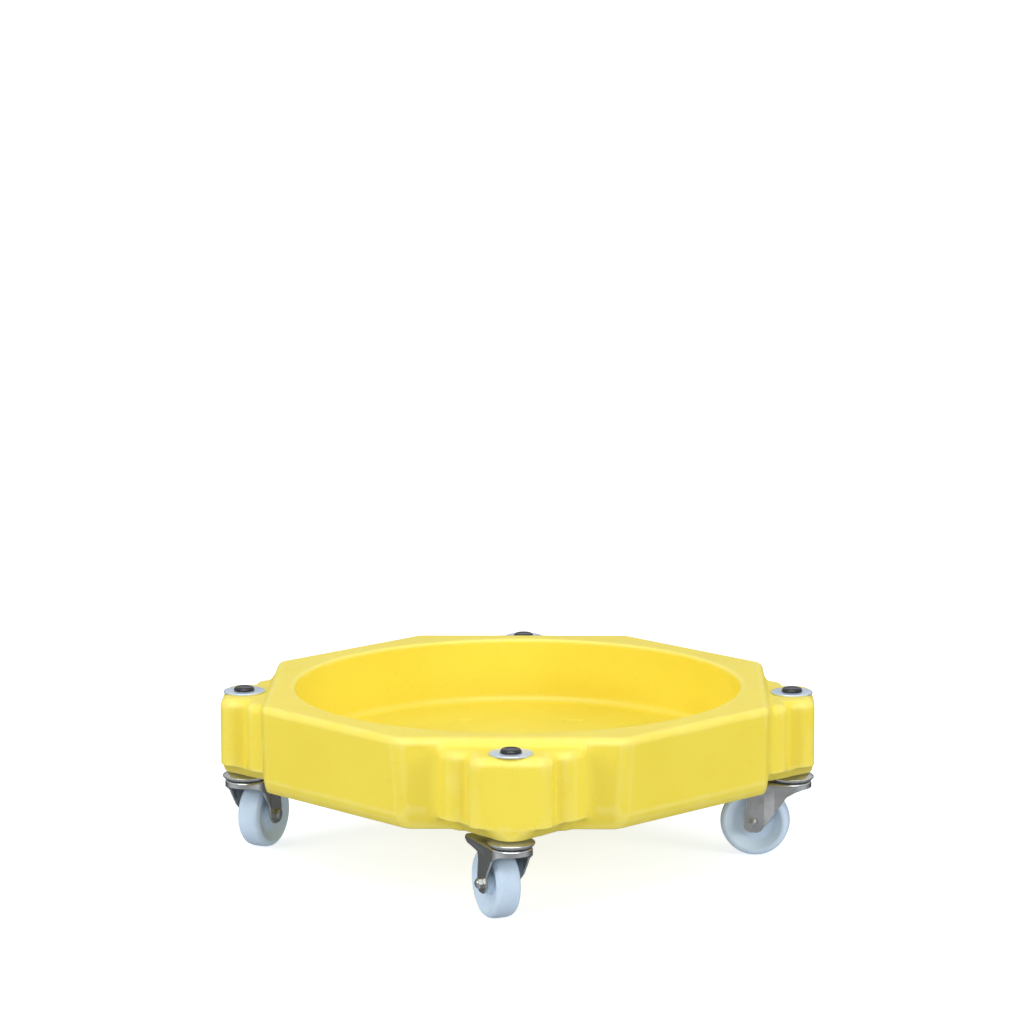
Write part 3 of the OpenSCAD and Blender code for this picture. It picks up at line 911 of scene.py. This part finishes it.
def fork_mesh():
    """A pressed fork: a flat blank is filled, then bent round its crown and down its legs."""
    step = 1.6 * MM
    side = resampled(fork_outline(), step)
    half = [flat_place(back, z) for back, z in side]
    end = arc_length + tail
    half = [p for p in half if p[0] < end - 1e-6] + [(end, p[1]) for p in half[-1:]]
    rim_steps = 90
    rim = [(end * i / rim_steps, 0.0) for i in range(rim_steps + 1)]
    rear = resampled([half[-1], (end, 0.0)], step)[1:-1]
    right = [p for p in half if p[0] > 1e-6] + rear + rim[::-1]
    loop = right[:-1] + [(0.0, 0.0)] + [(-a, d) for a, d in right[:-1]][::-1] + [half[0]]
    axle_hole = circle_points(*flat_place(trail, axle_z), 4.2 * MM, 32)
    stop_hole = circle_points(*flat_place(*stop_hole_place), 2 * MM, 20)
    holes = [[(s * a, d) for a, d in hole] for hole in (axle_hole, stop_hole) for s in (1, -1)]
    row_gap = 0.87 * step
    deepest = 90 * MM
    xs, ys = np.meshgrid(np.arange(-end, end, step), np.arange(step, deepest, row_gap))
    xs = xs + (np.arange(xs.shape[0]) % 2)[:, None] * step / 2
    inner = np.stack([xs.ravel(), ys.ravel()], -1)
    inner = inner[inside(inner, loop)]
    edge_points = np.array(loop + [p for hole in holes for p in hole])
    clear = np.array([np.min(np.hypot(*(edge_points - p).T)) > 0.75 * step for p in inner])
    for hole in holes:
        clear &= ~inside(inner, hole)
    verts, faces = filled(loop, holes, inner[clear])
    patches = Patches()
    patches.add(bent(verts[:, 0], verts[:, 1]), faces)
    round_crown = [p[0] for p in rim] + [-p[0] for p in rim[:0:-1]]
    crown_edge = bent(np.array(round_crown), np.zeros(len(round_crown)))
    king_hole = circle_points(0, 0, 12 * MM, 48)
    verts, faces = filled([(p[0], p[1]) for p in crown_edge], [king_hole])
    patches.add([(v[0], v[1], crown_z) for v in verts], faces)
    return mesh_from("fork", patches.verts, patches.faces, merge=0.02 * MM)


def forks():
    """The blank gets its thickness and soft edges once, and each castor gets a copy."""
    blank = new_object("fork_blank", fork_mesh(), ZINC)
    sheet = blank.modifiers.new("sheet", "SOLIDIFY")
    sheet.thickness = 2.5 * MM
    sheet.offset = -1
    edge = blank.modifiers.new("edge", "BEVEL")
    edge.width = 0.55 * MM
    edge.segments = 2
    edge.limit_method = "ANGLE"
    edge.angle_limit = math.radians(50)
    finished(blank, 40)
    for corner in CORNERS:
        fork = new_object("pressed_fork_" + corner, blank.data.copy(), ZINC)
        move_mesh(fork, to_castor(corner))
        install(fork, "castor_" + corner, "fork_" + corner)
    bpy.data.objects.remove(blank)


# ---- axles ----

def hexagonal(name, width, low, high, bore, material):
    """A hexagon with a round hole, its corners turned off at both faces."""
    steps = 12
    angles = [TAU * i / (6 * steps) for i in range(6 * steps)]
    flat = width / 2
    corner = [flat / math.cos((a % (math.pi / 3)) - math.pi / 6) for a in angles]
    face_r = flat * 0.96
    slope = math.tan(math.radians(28))

    def ring(radii, heights):
        return [(r * MM * math.cos(a), r * MM * math.sin(a), h * MM)
                for r, h, a in zip(radii, heights, angles)]

    count = len(angles)
    rows = [
        ring([bore] * count, [low] * count),
        ring([face_r] * count, [low] * count),
        ring(corner, [low + (c - face_r) * slope for c in corner]),
        ring(corner, [high - (c - face_r) * slope for c in corner]),
        ring([face_r] * count, [high] * count),
        ring([bore] * count, [high] * count),
    ]
    patches = Patches()
    patches.grid(rows + rows[:1])
    obj = new_object(name, mesh_from(name, patches.verts, patches.faces), material)
    obj.data.set_sharp_from_angle(angle=math.radians(25))
    return obj


def threaded(name, r, low, high, pitch, material):
    """A screw end: its radius rises and falls along a helix, and tapers off at its tip."""
    around, along = 48, max(8, int((high - low) / pitch * 8))
    groove = 0.55 * pitch
    tip = 0.6 * pitch
    rows = []
    for j in range(along + 1):
        z = low + (high - low) * j / along
        row = []
        for i in range(around):
            phase = (z / pitch - i / around) % 1.0
            depth = groove * abs(2 * phase - 1)
            taper = max(0.0, tip - (z - low)) * 0.8
            radius = (r - depth - taper) * MM
            angle = TAU * i / around
            row.append((radius * math.cos(angle), radius * math.sin(angle), z * MM))
        rows.append(row)
    patches = Patches()
    patches.grid(rows)
    patches.add(rows[0], [tuple(range(around))])
    patches.add(rows[-1], [tuple(range(around))])
    return new_object(name, mesh_from(name, patches.verts, patches.faces), material)


def steel_turning(name, corners):
    """A small plated turning, from the corners of its section."""
    return turned(name, rounded(corners), ZINC, segments=64)


def axles():
    """A bolt with a domed hexagon head through both legs of each fork, and its lock nut."""
    leg = 22.5                    # the outside of a leg, from the wheel's middle, in millimetres
    width = 13                    # across the flats
    face_top = leg + 0.6
    head_top = leg + 5.3
    nut_end = -leg - 6.4
    for corner in CORNERS:
        place = to_axle(corner)
        head = hexagonal("head", width, leg + 0.4, head_top, 4.2, ZINC)
        face = steel_turning("face", [
            (0, leg, 0), (6.1, leg, 0.1), (6.1, face_top, 0.1), (0, face_top, 0)])
        crown = steel_turning("crown", [
            (0, head_top, 0), (3.4, leg + 5.2, 2.0), (4.6, leg + 4.4, 0.6), (4.6, leg + 3, 0),
            (0, leg + 3, 0)])
        shank = steel_turning("shank", [
            (0, -leg - 6, 0), (4, -leg - 6, 0), (4, leg + 1, 0), (0, leg + 1, 0)])
        tip = threaded("tip", 4.0, -leg - 9, -leg - 5, 1.25, ZINC)
        bolt = move_mesh(joined("axle_screw_" + corner, [head, face, crown, shank, tip], ZINC), place)
        bolt.data.set_sharp_from_angle(angle=math.radians(30))
        install(bolt, "castor_" + corner, "axle_bolt_" + corner)
        body = hexagonal("nut", width, nut_end, -leg, 4.05, ZINC)
        collar = steel_turning("collar", [
            (4.1, -leg - 8, 0.3), (5.2, -leg - 8, 1.0), (6.0, -leg - 6.2, 0.3), (4.1, -leg - 6.2, 0)])
        nut = move_mesh(joined("lock_nut_" + corner, [body, collar], ZINC), place)
        nut.data.set_sharp_from_angle(angle=math.radians(30))
        install(nut, "castor_" + corner, "axle_nut_" + corner)


# ---- wheels ----

def wheel_section():
    """The wheel's section, as (radius, distance along the axle): tread, rim, dished web and hub."""
    side = [
        (10.1, 18.6, 0.6), (14.6, 18.6, 1.0), (15.6, 9.6, 3.0), (27.0, 9.6, 9.0), (39.6, 17.0, 4.0),
        (42.2, 18.0, 1.0), (45.4, 17.2, 3.0), (48.6, 14.0, 5.0), (49.8, 9.0, 6.0), (50.0, 5.0, 3.0)]
    return rounded(side + [(r, -y, f) for r, y, f in reversed(side)], steps=6)


def wheels():
    """The nylon wheels, with their treads marked for the dust that they pick up."""
    for corner in CORNERS:
        wheel = turned("nylon_wheel_" + corner, wheel_section(), NYLON, segments=160)
        mesh = wheel.data
        reach = np.array([math.hypot(v.co.x, v.co.y) for v in mesh.vertices])
        worn = smooth((reach - 0.90 * wheel_r) / (0.08 * wheel_r))
        mesh.attributes.new("tread", "FLOAT", "POINT").data.foreach_set("value", worn.astype(np.float32))
        mesh.set_sharp_from_angle(angle=math.radians(50))
        move_mesh(wheel, to_axle(corner))
        install(wheel, "rolling_" + corner, "wheel_" + corner)


# ---- the vent plug, and the inner parts that keep their modelled shape ----

def vent_plug():
    """The plug in the underside: a flange below, and a stem up through the plastic."""
    low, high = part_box("vent_plug")
    middle = (low + high) / 2
    base = low.z / MM
    top = high.z / MM
    section = rounded([
        (0, base + 0.4, 0), (3.0, base + 0.4, 0.4), (4.0, base, 0.6), (8, base + 0.1, 1.0),
        (8, base + 1.5, 0.2), (4.05, base + 1.5, 0), (4.0, top, 0.6), (0, top, 0)])
    plug = turned("vent_grommet", section, BLACK, segments=64)
    move_mesh(plug, Matrix.Translation((middle.x, middle.y, 0)))
    install(plug, "deck", "vent_plug")


def dress_inner_parts():
    """Gives the modelled parts that stay as they are their finishes."""
    finishes = {"castor_bolts": ZINC, "castor_nuts": ZINC, "spacer_tubes": ZINC, "king_sleeves": ZINC,
                "lower_races": ZINC, "axle_sleeve": ZINC, "hub_washers": BLUE_ZINC,
                "swivel_balls": BALL_STEEL, "wheel_bearing": BALL_STEEL}
    for name, obj in frame["nodes"].items():
        for start, material in finishes.items():
            if name.startswith(start):
                obj.data.materials.clear()
                obj.data.materials.append(material)


add_camera()
add_studio()
deck()
boss_fastenings()
head_cups()
forks()
axles()
wheels()
vent_plug()
dress_inner_parts()
